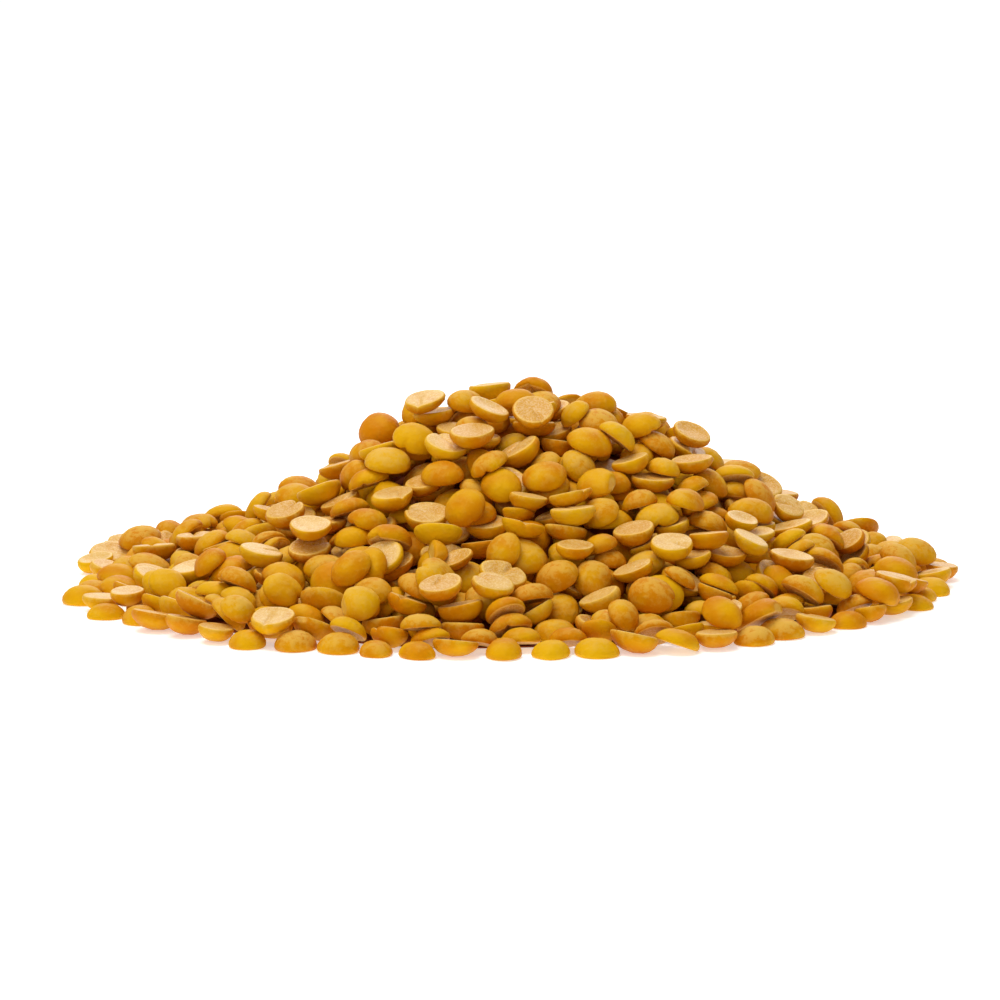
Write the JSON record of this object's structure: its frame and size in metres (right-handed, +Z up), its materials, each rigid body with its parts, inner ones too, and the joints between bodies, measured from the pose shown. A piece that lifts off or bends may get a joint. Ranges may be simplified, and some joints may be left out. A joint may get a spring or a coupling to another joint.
{
  "type": "heap of split toor dal",
  "caption": "Low uneven heap of dry split pigeon peas poured on a flat surface, with amber domes and pale cut faces, for dressing kitchen, shop and food scenes.",
  "frame": {"origin": "on the table, under the middle of the heap's box", "axes": "+Z up, +X along the heap's width to the viewer's right, +Y away from the viewer"},
  "size_m": [0.111, 0.092, 0.0245],
  "materials": {
    "dal": "dry skinned pulse: amber domes with a low sheen and dusty paler patches, pale mealy cut faces"
  },
  "bodies": {
    "root": {"toor_dal_heap": "dal"}
  },
  "joints": []
}
